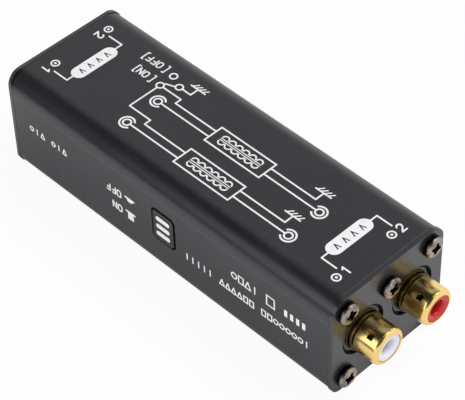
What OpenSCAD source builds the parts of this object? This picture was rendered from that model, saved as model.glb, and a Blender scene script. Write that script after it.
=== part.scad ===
// Ground loop isolator: an extruded metal case with two pairs of phono sockets, two audio
// transformers on a board, and a latching push switch in one long side.
// Long axis along X, inputs at +X, push button in the -Y side, base on z = 0.

/* [Case] */
// length over both end plates
case_l = 93.5; // [70:0.5:140]
// width of the case
case_w = 31.1; // [28:0.1:50]
// height of the case
case_h = 25.6; // [24:0.1:40]
// wall of the extruded tube
wall = 1.4; // [1:0.1:2.5]
// radius of the two long top edges
top_r = 4.1; // [2:0.1:6]
// radius of the two long bottom edges
bot_r = 3.2; // [1:0.1:4]
// thickness of each end plate
plate_t = 1.0; // [0.8:0.1:2]
// how much smaller the corner radii of the end plates are
plate_corner = 0.6; // [0:0.1:0.9]

/* [Corner screws] */
// inset of the screw axes from the case sides
port_side = 3.65; // [3:0.05:6]
// inset of the screw axes from the case top and bottom
port_rise = 3.6; // [3:0.05:6]
// radius of the round ports the screws go into
port_boss_r = 2.4; // [2.1:0.1:3]
// radius of the screw shank
shank_r = 1.45; // [1:0.05:1.6]
// length of the shank under the head
shank_l = 8; // [5:0.5:15]
// radius of the screw head
head_r = 2.4; // [2.2:0.05:3.2]
// height of the screw head
head_h = 1.5; // [1.3:0.1:2.6]

/* [Sockets] */
// distance between the two socket axes
pair_pitch = 13.9; // [13:0.1:18]
// height of the socket axes above the base
socket_z = 12.95; // [11:0.05:20]
// outer radius of a metal barrel
barrel_r = 4.15; // [3.9:0.05:4.3]
// punched window in the barrel, from the mouth to its middle
hole_in = 2.75; // [2.2:0.05:3.2]
// turn of the punched window from the top
hole_turn = 38; // [0:1:60]
// radius of the rounding at the barrel's mouth
mouth_r = 1.0; // [0.4:0.1:1.0]
// outer radius of the barrel's flange
flange_r = 4.4; // [4.3:0.05:4.7]
// how far a barrel stands out of its end plate
barrel_out = 6.9; // [5:0.1:10]
// radius of the plastic boss in the end plate's hole
boss_r = 5.3; // [4.8:0.1:6]
// radius of the hole in the end plate
plate_hole_r = 5.7; // [5.2:0.1:6.5]
// radius of the hole for the plug's pin
pin_bore_r = 1.7; // [1.6:0.05:1.9]
// depth of the plastic block behind the plate
block_d = 10; // [8:0.5:14]
// how far the fixing screw between the sockets lies below the case's top
fix_drop = 5.75; // [5:0.1:9]

/* [Push button] */
// centre of the window along the case
win_x = 0.1; // [-15:0.1:15]
// centre of the window above the base
win_z = 13.05; // [12:0.1:18]
// width of the window
win_w = 6.8; // [5:0.1:9]
// height of the window
win_h = 8.8; // [6:0.1:11]
// corner radius of the window
win_r = 1.3; // [0.5:0.1:2]
// how far the button stands out of the case
cap_out = 0.1; // [0:0.1:3]
// length of the button
cap_d = 3.6; // [3:0.1:5]
// how far the button can be pushed in
travel = 2.2; // [1:0.1:2.4]

/* [Inside] */
// thickness of the circuit board
board_t = 1.6; // [1:0.1:2]
// clearance between the board's ends and the end plates
board_gap = 1.75; // [0.5:0.05:5]
// height of the board's underside
board_z = 6.3; // [5:0.05:9]
// length of a transformer core
core_l = 16; // [12:0.5:18]
// width of a transformer core
core_w = 13.5; // [11:0.5:15]
// clearance between the transformers and the roof
coil_room = 3.9; // [0.5:0.1:8]
// share of a transformer's height that the stack of core plates takes
core_share = 0.4; // [0.2:0.01:0.6]

/* [Print] */
// thickness of the printed ink
ink_t = 0.06; // [0.04:0.01:0.2]
// width of the printed lines
line_w = 0.36; // [0.2:0.02:0.6]

/* [Hidden] */
$fn = 48;
eps = 0.01;
gap = 0.1;                      // clearance between fixed parts
run = 0.3;                      // clearance round the moving button
fit = 0.05;                     // clearance of close fixed fits
cut = 1;                        // how far cutting tools run past a face
tube_l = case_l - 2 * plate_t;
in_w = case_w - 2 * wall;
port_y = case_w / 2 - port_side;
port_lo = port_rise;
port_hi = case_h - port_rise;
port_r = shank_r + fit;
fix_z = case_h - fix_drop;
board_top = board_z + board_t;
board_w = in_w - 0.4;
board_l = tube_l - 2 * board_gap;
rib_d = 1.4;
rib_t = 0.9;
pair_y = pair_pitch / 2;
block_x = tube_l / 2 - gap;     // front face of the plastic block
block_w = 2 * pair_y + 11.3;
block_top = socket_z + 5.55;
boss_x = case_l / 2 - 0.2;      // front of the plastic boss
barrel_x = case_l / 2 + barrel_out;
shell_back = block_x - 8;
shell_in = barrel_r - 0.6;      // inside of the barrel
neck_x = boss_x + 1.35;         // where the barrel's straight outside starts
lens_r = 3.0;                   // visible radius of the coloured insert
seat_x = barrel_x - 6.5;        // where the contact starts behind the face
tail_x = block_x - block_d - 1.1;
leg_x = shell_back + 0.25;
cap_w = win_w - 2 * run;
cap_h = win_h - 2 * run;
cap_y = -case_w / 2 - cap_out;  // front face of the button
stem_s = 3;                     // side of the square stem
sw_w = 8.5;
sw_front = cap_y + cap_d + travel + 1.1;
sw_back = sw_front + 11;
leg_t = core_w * 0.31;          // width of the core's middle leg
side_t = core_w * 0.13;         // width of its outer legs
flange_h = (case_h - wall - coil_room - board_top) / 2;  // half the height of a transformer
core_t = 2 * flange_h * core_share;
coil_z = board_top + flange_h;
coil_x = (sw_w / 2 + block_x - block_d) / 2;    // midway between switch and socket block
coil_l = core_l - 2 * side_t - 0.3;
mark_x = -0.1;                  // the top print's place on the roof
mark_y = 0.2;
drawn_l = 93.5;                 // case sizes that the print is drawn for
drawn_w = 31.1;
drawn_h = 25.6;

// turns a drawing in the YZ plane into a solid that starts at x0 and is l long
module along_x(x0, l) { translate([x0, 0, 0]) rotate([90, 0, 90]) linear_extrude(l) children(); }
// puts a part made for the input end at the other end
module at_end(s) { if (s > 0) children(); else mirror([1, 0, 0]) children(); }
module rod_x(r, x0, x1) { translate([x0, 0, 0]) rotate([0, 90, 0]) cylinder(r = r, h = x1 - x0); }

// section of the case shrunk by t on every side, with radii smaller by c
module section(t, c = 0) {
  w = case_w / 2 - t; rt = top_r - t - c; rb = max(bot_r - t - c, 0.4); h = case_h - t;
  for (s = [-1, 1]) {
    translate([s * (w - rt), h - rt]) circle(rt);
    translate([s * (w - rb), t + rb]) circle(rb);
  }
  translate([-w + rt, case_h / 2]) square([2 * (w - rt), h - case_h / 2]);
  translate([-w, t + rb]) square([2 * w, h - rt - t - rb]);
  translate([-w + rb, t]) square([2 * (w - rb), case_h / 2]);
}

module housing() {
  color([0.17, 0.17, 0.18]) difference() {
    along_x(-tube_l / 2, tube_l) difference() {
      union() {
        difference() { section(0); section(wall); }
        intersection() {
          section(wall / 2);
          union() {
            for (s = [-1, 1], z = [port_lo, port_hi]) translate([s * port_y, z]) {
              circle(port_boss_r);
              translate([s > 0 ? 0 : -wall - 2, -1.5]) square([wall + 2, 3]);
              translate([-1.5, z > case_h / 2 ? 0 : -wall - 2]) square([3, wall + 2]);
            }
            for (s = [-1, 1], z = [board_z - gap - rib_t, board_top + gap])
              translate([s > 0 ? in_w / 2 - rib_d : -in_w / 2 - 0.5, z]) square([rib_d + 0.5, rib_t]);
          }
        }
      }
      for (s = [-1, 1], z = [port_lo, port_hi]) translate([s * port_y, z]) {
        circle(port_r);
        rotate(z < case_h / 2 ? (s > 0 ? 135 : 45) : (s > 0 ? 225 : -45))
          translate([0, -0.5]) square([port_boss_r + 1, 1]);
      }
    }
    // window, as deep as the button goes
    translate([win_x, 0, win_z])
      window(win_w, win_h, win_r, -case_w / 2 - cut, cut - cap_out + cap_d + travel + run);
  }
}
// rounded upright block facing -Y, from y0 inwards by d
module window(w, h, r, y0, d) {
  translate([0, y0 + d, 0]) rotate([90, 0, 0]) linear_extrude(d) rounded(w, h, r);
}
module rounded(w, h, r) {
  for (sx = [-1, 1], sy = [-1, 1]) translate([sx * (w / 2 - r), sy * (h / 2 - r)]) circle(r);
  translate([-w / 2, -h / 2 + r]) square([w, h - 2 * r]);
  translate([-w / 2 + r, -h / 2]) square([w - 2 * r, h]);
}

module end_plate() {
  color([0.2, 0.2, 0.21]) along_x(case_l / 2 - plate_t, plate_t) difference() {
    section(0, plate_corner);
    for (s = [-1, 1]) translate([s * pair_y, socket_z]) circle(plate_hole_r);
    for (s = [-1, 1], z = [port_lo, port_hi]) translate([s * port_y, z]) circle(shank_r + gap);
    translate([0, fix_z]) circle(shank_r + gap);
  }
}
module input_plate() { end_plate(); }
module output_plate() { at_end(-1) end_plate(); }

// pan head screw with a cross recess, axis along X, head on the outside of the plate
module screw(l) {
  color([0.75, 0.74, 0.72]) translate([case_l / 2, 0, 0]) difference() {
    union() {
      rotate([0, 90, 0]) rotate_extrude() difference() {
        union() {
          square([head_r - 0.9, head_h]);
          square([head_r, head_h - 0.9]);
          translate([head_r - 0.9, head_h - 0.9]) circle(0.9);
        }
        translate([-5, -5]) square([5, 15]);
        translate([0, -5]) square([5, 5]);
      }
      rod_x(shank_r, -l, eps);
    }
    translate([head_h - 1.1, 0, 0]) for (a = [0, 90]) rotate([a, 0, 0])
      translate([0, -0.4, -1.35]) cube([1.1 + cut, 0.8, 2.7]);
    translate([head_h - 1.1, 0, 0]) rotate([0, 90, 0]) cylinder(r1 = 0.55, r2 = 1.15, h = 1.1 + eps);
  }
}
module corner_screw(i) {
  translate([0, i % 2 == 0 ? port_y : -port_y, i < 3 ? port_hi : port_lo]) screw(shank_l);
}
module fix_screw() { translate([0, 0, fix_z]) screw(plate_t + 6); }

// black plastic block that carries two sockets behind an end plate
module socket_block() {
  color([0.09, 0.09, 0.1]) difference() {
    union() {
      translate([block_x - block_d, -block_w / 2, board_top])
        cube([block_d, block_w, block_top - board_top]);
      translate([block_x - block_d * 0.75, -3.2, board_top])
        cube([block_d * 0.75, 6.4, fix_z + 2.7 - board_top]);
      for (s = [-1, 1]) translate([0, s * pair_y, socket_z]) rod_x(boss_r, block_x - 1, boss_x);
    }
    for (s = [-1, 1]) translate([0, s * pair_y, socket_z]) {
      rod_x(barrel_r + fit, shell_back - fit, boss_x + cut);
      rod_x(flange_r + gap, boss_x - 0.6, boss_x + cut);
      rod_x(0.6, block_x - block_d - cut, shell_back);
      translate([shell_back - fit, -1.15, -socket_z]) cube([0.6, 2.3, socket_z - 3]);
    }
    translate([0, 0, fix_z]) rod_x(shank_r + fit, block_x - 7, block_x + cut);
    // stays clear of the upper screw ports
    for (s = [-1, 1]) translate([0, s * port_y, port_hi])
      rod_x(port_boss_r + 2 * gap, block_x - block_d - cut, block_x + cut);
  }
}

// gold plated barrel with flange, groove, punched window, rounded mouth and solder leg
module barrel(s) {
  color([0.85, 0.65, 0.25]) translate([0, s * pair_y, socket_z]) difference() {
    union() {
      rod_x(barrel_r, shell_back, barrel_x - mouth_r);
      rod_x(flange_r, boss_x - 0.5, neck_x - 0.35);
      translate([barrel_x - mouth_r - 0.1, 0, 0]) rotate([0, 90, 0]) rotate_extrude() difference() {
        union() {
          square([barrel_r - mouth_r, mouth_r + 0.1]);
          square([barrel_r, 0.1]);
          translate([barrel_r - mouth_r, 0.1]) circle(mouth_r);
        }
        translate([-5, -5]) square([5, 15]);
        translate([0, -5]) square([6, 5]);
      }
      translate([shell_back, -1.05, board_z - 1.2 - socket_z]) cube([0.5, 2.1, socket_z - board_z - 2]);
    }
    difference() {
      rod_x(barrel_r + cut, neck_x - 0.35, neck_x);
      rod_x(barrel_r - 0.3, neck_x - 0.45, neck_x + 0.1);
    }
    rod_x(shell_in, shell_back - cut, barrel_x - 0.5);
    rod_x(lens_r + 0.1, barrel_x - 0.6, barrel_x + cut);
    rotate([hole_turn, 0, 0]) translate([barrel_x - hole_in - 0.5, -0.5, 0]) cube([1.0, 1.0, barrel_r + cut]);
  }
}
// coloured plastic insert that holds the contact in the barrel
module insert(s) {
  color(s > 0 ? [0.8, 0.05, 0.08] : [0.92, 0.92, 0.96]) translate([0, s * pair_y, socket_z]) difference() {
    union() {
      rod_x(shell_in - fit, shell_back + 0.5, barrel_x - 0.55);
      rod_x(lens_r, barrel_x - 0.6, barrel_x - 0.25);
    }
    rod_x(pin_bore_r, seat_x - eps, barrel_x + cut);
    rod_x(pin_bore_r + 0.35, seat_x - 5.5, seat_x);
    rod_x(0.6, shell_back - cut, seat_x - 5);
  }
}
// tube shaped centre contact with a tail down to the board
module contact(s) {
  color([0.86, 0.68, 0.3]) translate([0, s * pair_y, socket_z]) {
    difference() {
      rod_x(pin_bore_r + 0.3, seat_x - 5.4, seat_x - fit);
      rod_x(pin_bore_r, seat_x - 4.6, seat_x + cut);
      translate([seat_x - 3.4, -0.25, -3]) cube([4.4, 0.5, 6]);
    }
    rod_x(0.5, tail_x, seat_x - 5.2);
    translate([tail_x, 0, 0]) sphere(0.5);
    translate([tail_x, 0, board_z - 1.2 - socket_z]) cylinder(r = 0.5, h = socket_z - board_z + 1.2);
  }
}

module board() {
  color([0.1, 0.32, 0.18]) difference() {
    translate([-board_l / 2, -board_w / 2, board_z]) cube([board_l, board_w, board_t]);
    for (e = [-1, 1], s = [-1, 1]) {
      translate([e * tail_x, s * pair_y, board_z - cut]) cylinder(r = 0.6, h = board_t + 2 * cut);
      translate([e * leg_x - 0.35, s * pair_y - 1.2, board_z - cut]) cube([0.7, 2.4, board_t + 2 * cut]);
    }
    for (e = [-1, 1]) translate([e * coil_x, 0, 0]) coil_pins_at(0.42, board_z - cut, board_top + cut);
    switch_pins_at(0.42, board_z - cut, board_top + cut);
  }
}

// laminated core, a frame with a middle leg along X
module core(e) {
  color([0.42, 0.42, 0.44]) translate([e * coil_x, 0, coil_z]) difference() {
    translate([-core_l / 2, -core_w / 2, -core_t / 2]) cube([core_l, core_w, core_t]);
    for (s = [-1, 1]) translate([-core_l / 2 + side_t, s > 0 ? leg_t / 2 : -core_w / 2 + side_t, -core_t])
      cube([core_l - 2 * side_t, core_w / 2 - side_t - leg_t / 2, 2 * core_t]);
  }
}
module bobbin(e) {
  y1 = core_w / 2 - side_t - 0.15;
  color([0.1, 0.1, 0.1]) translate([e * coil_x, 0, coil_z]) difference() {
    union() {
      translate([-coil_l / 2, -leg_t / 2 - 0.6, -core_t / 2 - 0.6]) cube([coil_l, leg_t + 1.2, core_t + 1.2]);
      for (s = [-1, 1]) translate([s > 0 ? coil_l / 2 - 0.8 : -coil_l / 2, -y1, -flange_h]) {
        cube([0.8, 2 * y1, 2 * flange_h]);
        translate([s > 0 ? 0 : -2, 0, 0]) cube([2.8, 2 * y1, 1.0]);
      }
    }
    translate([-coil_l, -leg_t / 2 - fit, -core_t / 2 - fit])
      cube([2 * coil_l, leg_t + 2 * fit, core_t + 2 * fit]);
    translate([-coil_x * e, 0, -coil_z]) translate([e * coil_x, 0, 0]) coil_pins_at(0.32, 0, board_top + 0.8);
  }
}
module winding(e) {
  y1 = core_w / 2 - side_t - 0.5;
  l = coil_l - 1.7;
  color([0.85, 0.7, 0.2]) translate([e * coil_x, 0, coil_z]) difference() {
    translate([-l / 2, 0, 0]) rotate([90, 0, 90]) linear_extrude(l)
      rounded(2 * y1, 2 * flange_h - 1.4, 1.5);
    translate([-l, -leg_t / 2 - 0.6 - fit, -core_t / 2 - 0.6 - fit])
      cube([2 * l, leg_t + 1.2 + 2 * fit, core_t + 1.2 + 2 * fit]);
  }
}
module coil_pins_at(r, z0, z1) {
  for (s = [-1, 1], k = [-1, 0, 1]) translate([s * (coil_l / 2 + 0.9), k * 3.6, z0])
    cylinder(r = r, h = z1 - z0);
}
module coil_pins(e) {
  color([0.8, 0.8, 0.82]) translate([e * coil_x, 0, 0]) coil_pins_at(0.3, board_z - 1.2, board_top + 0.75);
}

module switch_body() {
  color([0.12, 0.12, 0.13]) difference() {
    translate([win_x - sw_w / 2, sw_front, board_top])
      cube([sw_w, sw_back - sw_front, win_z + sw_w / 2 - board_top]);
    translate([win_x - stem_s / 2 - gap, sw_front - cut, win_z - stem_s / 2 - gap])
      cube([stem_s + 2 * gap, cut + 5 + travel + 1, stem_s + 2 * gap]);
    switch_pins_at(0.32, 0, board_top + 0.8);
  }
}
module switch_pins_at(r, z0, z1) {
  for (s = [-1, 1], k = [0, 1, 2]) translate([win_x + s * 2.5, sw_front + 2.5 + k * 2.5, z0])
    cylinder(r = r, h = z1 - z0);
}
module switch_pins() { color([0.8, 0.8, 0.82]) switch_pins_at(0.3, board_z - 1.2, board_top + 0.75); }

module stem() {
  color([0.1, 0.1, 0.1]) translate([win_x - stem_s / 2, cap_y + cap_d - 1.5, win_z - stem_s / 2])
    cube([stem_s, sw_front + 5 - cap_y - cap_d + 1.5, stem_s]);
}
module button() {
  color([0.07, 0.07, 0.08]) translate([win_x, 0, win_z]) difference() {
    union() {
      window(cap_w, cap_h, win_r - run, cap_y + 0.3, cap_d - 0.3);
      window(cap_w - 0.6, cap_h - 0.6, win_r - run, cap_y, 1);
    }
    translate([-stem_s / 2 - fit, cap_y + cap_d - 1.5, -stem_s / 2 - fit])
      cube([stem_s + 2 * fit, 3, stem_s + 2 * fit]);
  }
}
// three plain bars on the face of the button
module button_marks() {
  color([0.95, 0.95, 0.97]) translate([win_x, 0, win_z]) for (k = [-1, 0, 1])
    translate([0, 0, k * 2.1]) window(3.9, 1.1, 0.5, cap_y - ink_t, ink_t);
}

// printed line through two points, with round ends
module stroke(p, q, w) {
  d = q - p;
  l = norm(d);
  translate(p) rotate(atan2(d[1], d[0])) translate([0, -w / 2]) square([l, w]);
  translate(p) circle(d = w, $fn = 24);
  translate(q) circle(d = w, $fn = 24);
}
module path(pts, w) { for (i = [0 : len(pts) - 2]) stroke(pts[i], pts[i + 1], w); }
module ring(p, r0, r1) { translate(p) difference() { circle(r1); circle(r0); } }
module frame_box(x0, y0, x1, y1, w) {
  difference() {
    translate([x0, y0]) square([x1 - x0, y1 - y0]);
    translate([x0 + w, y0 + w]) square([x1 - x0 - 2 * w, y1 - y0 - 2 * w]);
  }
}
// plain signs, 1 high: 0 = one, 1 = two, 2 = letter O, 3 = letter N, 4 = letter F, 5 = bracket
module sign(k, w) {
  if (k == 0) path([[0.12, 0.78], [0.36, 1], [0.36, 0]], w);
  if (k == 1) path([[0, 0.8], [0.16, 0.98], [0.45, 0.98], [0.6, 0.78], [0.55, 0.55], [0, 0], [0.62, 0]], w);
  if (k == 2) path([[0.15, 0], [0, 0.2], [0, 0.8], [0.15, 1], [0.5, 1], [0.65, 0.8], [0.65, 0.2], [0.5, 0],
    [0.15, 0]], w);
  if (k == 3) path([[0, 0], [0, 1], [0.62, 0], [0.62, 1]], w);
  if (k == 4) { path([[0, 0], [0, 1], [0.55, 1]], w); stroke([0, 0.52], [0.48, 0.52], w); }
  if (k == 5) path([[0.25, 1.2], [0, 1.2], [0, -0.2], [0.25, -0.2]], w);
}
// signs in a row, starting at p, turned by a, h high
module signs(list, p, a, h, w) {
  translate(p) rotate(a) for (i = [0 : len(list) - 1]) translate([i * h * 0.95, 0])
    scale([h, h]) sign(list[i], w / h);
}
// open ring and inner ring of a socket sign, s = side the line comes from
module socket_sign(p, s) {
  translate(p) {
    ring([0, 0], 0.68, 1.05);
    difference() {
      ring([0, 0], 1.4, 1.8);
      polygon([[0, 0], [s * 3, 2], [s * 3, -2]]);
    }
  }
}
module ground_sign(p, w) {
  translate(p) {
    stroke([-2.05, 0], [2.05, 0], w);
    for (k = [0 : 3]) stroke([-1.6 + k * 0.95, 0.1], [-0.75 + k * 0.95, 1.1], w * 0.8);
  }
}
// two rows of bows with bars between, the sign for a transformer
module coil_sign(p) {
  translate(p) {
    for (s = [-1, 1], k = [0 : 5]) translate([-4.75 + k * 1.9, s * 0.55]) difference() {
      ring([0, 0], 0.62, 0.95);
      translate([-2, s > 0 ? -2 : 0]) square([4, 2]);
    }
    for (y = [-0.25, 0.25]) stroke([-5.6, y], [5.6, y], 0.2);
  }
}
module pill(p, l, w) {
  translate(p) {
    translate([-w / 2, -l / 2 + w / 2]) square([w, l - w]);
    for (s = [-1, 1]) translate([0, s * (l / 2 - w / 2)]) circle(w / 2);
  }
}
module top_print() {
  color([0.94, 0.94, 0.96]) translate([mark_x, mark_y, case_h])
    scale([case_l / drawn_l, case_w / drawn_w, 1]) linear_extrude(ink_t) {
    // pills with arrows left bare in them
    for (e = [-1, 1]) difference() {
      pill([e > 0 ? 36.35 : -36.05, e > 0 ? -0.1 : -0.7], 11.9, 3.5);
      for (k = [-3.5, -1.15, 1.2, 3.55]) translate([e > 0 ? 36.35 : -36.05, k - (e > 0 ? 0.1 : 0.7)])
        path([[0.7, -0.42], [-0.7, 0], [0.7, 0.42]], 0.3);
    }
    path([[-36.1, 5], [-36.1, 7.1], [-40, 7.1]], line_w);
    path([[-36.1, -6.4], [-36.1, -8.3], [-40, -8.3]], line_w);
    path([[36.35, 5.6], [36.35, 7.65], [40.2, 7.65]], line_w);
    path([[36.35, -6], [36.35, -7.8], [40.2, -7.8]], line_w);
    // socket numbers with a small socket face beside each
    for (e = [-1, 1], s = [0, 1]) {
      y0 = e > 0 ? (s > 0 ? 5.9 : -9.5) : (s > 0 ? 8.5 : -6.5);
      x0 = e * 41.8;
      ring([x0, y0], 0.7, 1.05);
      translate([x0, y0]) circle(0.3);
      signs([s], [x0 + e * 1.0, y0 + e * 2.0], e > 0 ? 90 : -90, 2.0, 0.36);
    }
    // ground wiring at the output side
    ring([-21, 4.05], 0.65, 1.0);
    ring([-21, 7.9], 0.65, 1.0);
    ring([-17.7, 6.4], 0.65, 1.0);
    stroke([-18.55, 5.85], [-20.5, 5.15], line_w);
    path([[-16.75, 6.4], [-14.35, 6.4], [-14.35, 8.5]], line_w);
    ground_sign([-14.35, 8.55], 0.34);
    path([[-20.1, 4.05], [-14.75, 4.05], [-14.75, 2.5], [-2.9, 2.5]], line_w);
    path([[-21, 3.1], [-21, -4.5], [-14.75, -4.5], [-14.75, -6.1], [-2.9, -6.1]], line_w);
    signs([5, 2, 3], [-23.5, 5.1], 180, 1.65, 0.3);
    signs([5], [-28.6, 3.45], 0, 1.65, 0.3);
    signs([5, 2, 4, 4], [-23.5, 9.1], 180, 1.65, 0.3);
    signs([5], [-30.1, 7.45], 0, 1.65, 0.3);
    // two channels from socket to transformer to socket
    for (d = [0, -8.6]) {
      frame_box(-2.95, -1.05 + d, 12.8, 4.3 + d, 0.36);
      coil_sign([4.95, 1.65 + d]);
      socket_sign([-17.75, 0.4 + d], 1);
      stroke([-16.8, 0.4 + d], [-2.8, 0.4 + d], line_w);
      socket_sign([27.8, 0.55 + d], -1);
      stroke([12.7, 0.55 + d], [26.9, 0.55 + d], line_w);
      path([[12.7, 2.6 + d], [24.85, 2.6 + d], [24.85, 4.8 + d]], line_w);
      ground_sign([24.75, 4.9 + d], 0.34);
    }
  }
}
// plain outline shapes, h high round p: 0 = bar, 1 = ring, 2 = square, 3 = triangle
module plain_shape(k, p, h) {
  w = 0.3; a = h / 2 - w / 2;
  if (k == 0) stroke([p[0], p[1] - a], [p[0], p[1] + a], w);
  if (k == 1) ring(p, h * 0.4 - w, h * 0.4);
  if (k == 2) frame_box(p[0] - h * 0.36, p[1] - h / 2, p[0] + h * 0.36, p[1] + h / 2, w);
  if (k == 3) translate(p) path([[-a * 0.8, -a], [a * 0.8, -a], [0, a], [-a * 0.8, -a]], w);
}
// push button pictogram, base w wide: b = 1 pushed in, 0 out
module push_sign(p, b) {
  translate(p) {
    translate([-1.45, 0.7]) square([2.9, 0.45]);
    polygon([[-1.0, 0.75], [1.0, 0.75], [0.55, 0], [-0.55, 0]]);
    if (b == 0) translate([-0.85, -1.1]) square([1.7, 1.3]);
  }
}
module side_print() {
  color([0.94, 0.94, 0.96]) translate([win_x - 0.3, -case_w / 2, win_z]) rotate([90, 0, 0])
    linear_extrude(ink_t) scale([case_l / drawn_l, case_h / drawn_h]) translate([0, -13.6]) {
    push_sign([-9.6, 14.1], 1);
    push_sign([-9.6, 10.1], 0);
    signs([2, 4, 4], [-12.3, 15.3], 180, 1.7, 0.34);
    signs([2, 3], [-12.3, 11.1], 180, 1.7, 0.34);
    // rows of plain outline shapes
    for (k = [0 : 6]) if (k != 3) plain_shape((k * 3 + 1) % 4, [-40.0 + k * 1.72, 14.8], 1.7);
    for (k = [0 : 20]) if (k != 5 && k != 12) plain_shape((k * 3 + k % 5) % 4, [7.1 + k * 1.66, 10.65], 1.9);
    // plain outlines above the long row
    for (k = [0 : 3]) plain_shape((k + 1) % 4, [20.6 + k * 1.9, 15.3], 2.2);
    frame_box(29.4, 13.9, 31.8, 16.8, 0.32);
    for (k = [0 : 3]) translate([34.3 + k * 1.6, 14.4]) square([0.8, 1.8]);
  }
}

housing();
input_plate();
output_plate();
corner_screw(1);  // screw_in_1
corner_screw(2);  // screw_in_2
corner_screw(3);  // screw_in_3
corner_screw(4);  // screw_in_4
at_end(-1) corner_screw(1);  // screw_out_1
at_end(-1) corner_screw(2);  // screw_out_2
at_end(-1) corner_screw(3);  // screw_out_3
at_end(-1) corner_screw(4);  // screw_out_4
fix_screw();  // fix_screw_in
at_end(-1) fix_screw();  // fix_screw_out
socket_block();  // socket_block_in
at_end(-1) socket_block();  // socket_block_out
barrel(-1);  // barrel_in_1
barrel(1);  // barrel_in_2
at_end(-1) barrel(-1);  // barrel_out_1
at_end(-1) barrel(1);  // barrel_out_2
insert(-1);  // insert_in_1
insert(1);  // insert_in_2
at_end(-1) insert(-1);  // insert_out_1
at_end(-1) insert(1);  // insert_out_2
contact(-1);  // contact_in_1
contact(1);  // contact_in_2
at_end(-1) contact(-1);  // contact_out_1
at_end(-1) contact(1);  // contact_out_2
board();
core(1);  // core_1
core(-1);  // core_2
bobbin(1);  // bobbin_1
bobbin(-1);  // bobbin_2
winding(1);  // winding_1
winding(-1);  // winding_2
coil_pins(1);  // coil_pins_1
coil_pins(-1);  // coil_pins_2
switch_body();
switch_pins();
stem();
button();
button_marks();
top_print();
side_print();
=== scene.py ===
"""Looks of a ground loop isolator: black anodised case, gold sockets at both ends, button in one side."""
import math
from functools import partial

import bmesh
import bpy
from bpy.props import FloatProperty, FloatVectorProperty, IntProperty, PointerProperty
from mathutils import Euler, Matrix, Vector


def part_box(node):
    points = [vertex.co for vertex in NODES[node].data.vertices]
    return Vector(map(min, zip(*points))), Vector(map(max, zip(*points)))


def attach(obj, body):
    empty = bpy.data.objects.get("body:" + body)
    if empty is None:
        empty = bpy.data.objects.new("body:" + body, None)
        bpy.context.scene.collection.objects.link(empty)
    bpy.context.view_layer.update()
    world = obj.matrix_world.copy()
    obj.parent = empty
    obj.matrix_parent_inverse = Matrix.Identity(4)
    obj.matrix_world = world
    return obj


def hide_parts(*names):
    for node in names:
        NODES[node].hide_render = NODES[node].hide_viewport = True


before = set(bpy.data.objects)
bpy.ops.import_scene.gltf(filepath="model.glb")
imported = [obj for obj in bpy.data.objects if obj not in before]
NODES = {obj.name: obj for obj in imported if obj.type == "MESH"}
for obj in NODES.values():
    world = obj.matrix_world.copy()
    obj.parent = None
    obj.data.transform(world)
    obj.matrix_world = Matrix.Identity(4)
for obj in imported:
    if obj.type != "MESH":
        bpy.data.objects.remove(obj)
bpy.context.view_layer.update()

bl_info = {
    "name": "Ground loop isolator",
    "version": (1, 0, 0),
    "blender": (4, 5, 0),
    "location": "3D view > Sidebar > Isolator",
    "description": "Builds case, sockets, screws, button, print and inner parts of a ground loop isolator",
    "category": "Add Mesh",
}


def middle(box, axis):
    """Middle of a box along an axis."""
    return (box[0][axis] + box[1][axis]) / 2


MM = 0.001
HAIR = 0.004 * MM                               # points this close to a plane lie in it
CASE_LOW, CASE_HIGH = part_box("housing")
PLATE_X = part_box("input_plate")[1][0]           # outer face of the end plate
SOCKET_Y = middle(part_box("insert_in_2"), 1)     # axis of a socket, off the middle of the plate
SOCKET_Z = middle(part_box("insert_in_2"), 2)
SCREW_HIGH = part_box("screw_in_2")
SCREW_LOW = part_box("screw_in_4")
FIX_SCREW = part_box("fix_screw_in")
HEAD_HEIGHT = SCREW_HIGH[1][0] - PLATE_X
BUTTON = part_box("button")

HIGHLIGHT_LINE_Z = CASE_HIGH[2] - 5.5 * MM            # painted highlight line along the flanks, where the top rounding starts
FLANGE_X = PLATE_X + 0.36 * MM                  # middle of the barrels' flange
GROOVE_X = PLATE_X + 0.96 * MM                  # middle of the groove behind it
WINDOW_X = 4.15                                 # middle of the barrel's window, in mm out from the plate
WINDOW_TURN = 38.0                              # and its turn from the top, in degrees
FLECK_RADIUS = 0.42                             # of a cell of the pattern
MIX_LOW, MIX_HIGH, MIX_RESULT = 6, 7, 2         # the colour sockets of a Mix node
FLAT_SMOOTH = 16.0                              # pieces with flat faces are smoothed up to this angle
CARD_CORNERS = ((0, 0), (1, 0), (1, 1), (0, 1))
CAMERA_PLACE = (0.21493, -0.19827, 0.308)
CAMERA_TURN = (0.77529, 0.022768, 0.792879)
CAMERA_LENS = 157.19


# ---------------------------------------------------------------- sizes and colours

LengthProperty = partial(FloatProperty, min=0, unit="LENGTH")
ColourProperty = partial(FloatVectorProperty, size=3, subtype="COLOR", min=0, max=1)


class IsolatorSizes(bpy.types.PropertyGroup):
    case_edge: LengthProperty(name="Case edge rounding", description="Rounding of the tube's cut edges",
                              default=0.15 * MM)
    plate_edge: LengthProperty(name="Plate edge rounding", description="Rounding of the end plates' edges",
                               default=0.07 * MM)
    block_edge: LengthProperty(name="Plastic edge rounding", description="Rounding of moulded plastic edges",
                               default=0.18 * MM)
    head_radius: LengthProperty(name="Screw head radius", description="Radius of a pan head",
                                default=(SCREW_HIGH[1][1] - SCREW_HIGH[0][1]) / 2)
    head_height: LengthProperty(name="Screw head height", description="Height of a pan head above the plate",
                                default=HEAD_HEIGHT)
    socket_spacing: LengthProperty(name="Socket spacing", description="Distance between the two socket axes",
                                   default=2 * SOCKET_Y)
    socket_height: LengthProperty(name="Socket height", description="Height of the socket axes off the base",
                                  default=SOCKET_Z)
    tape_turns: IntProperty(name="Winding turns", description="Turns of tape seen on a transformer",
                            default=11, min=3)
    core_plates: IntProperty(name="Core plates", description="Steel plates in a transformer core",
                             default=12, min=2)


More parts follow.
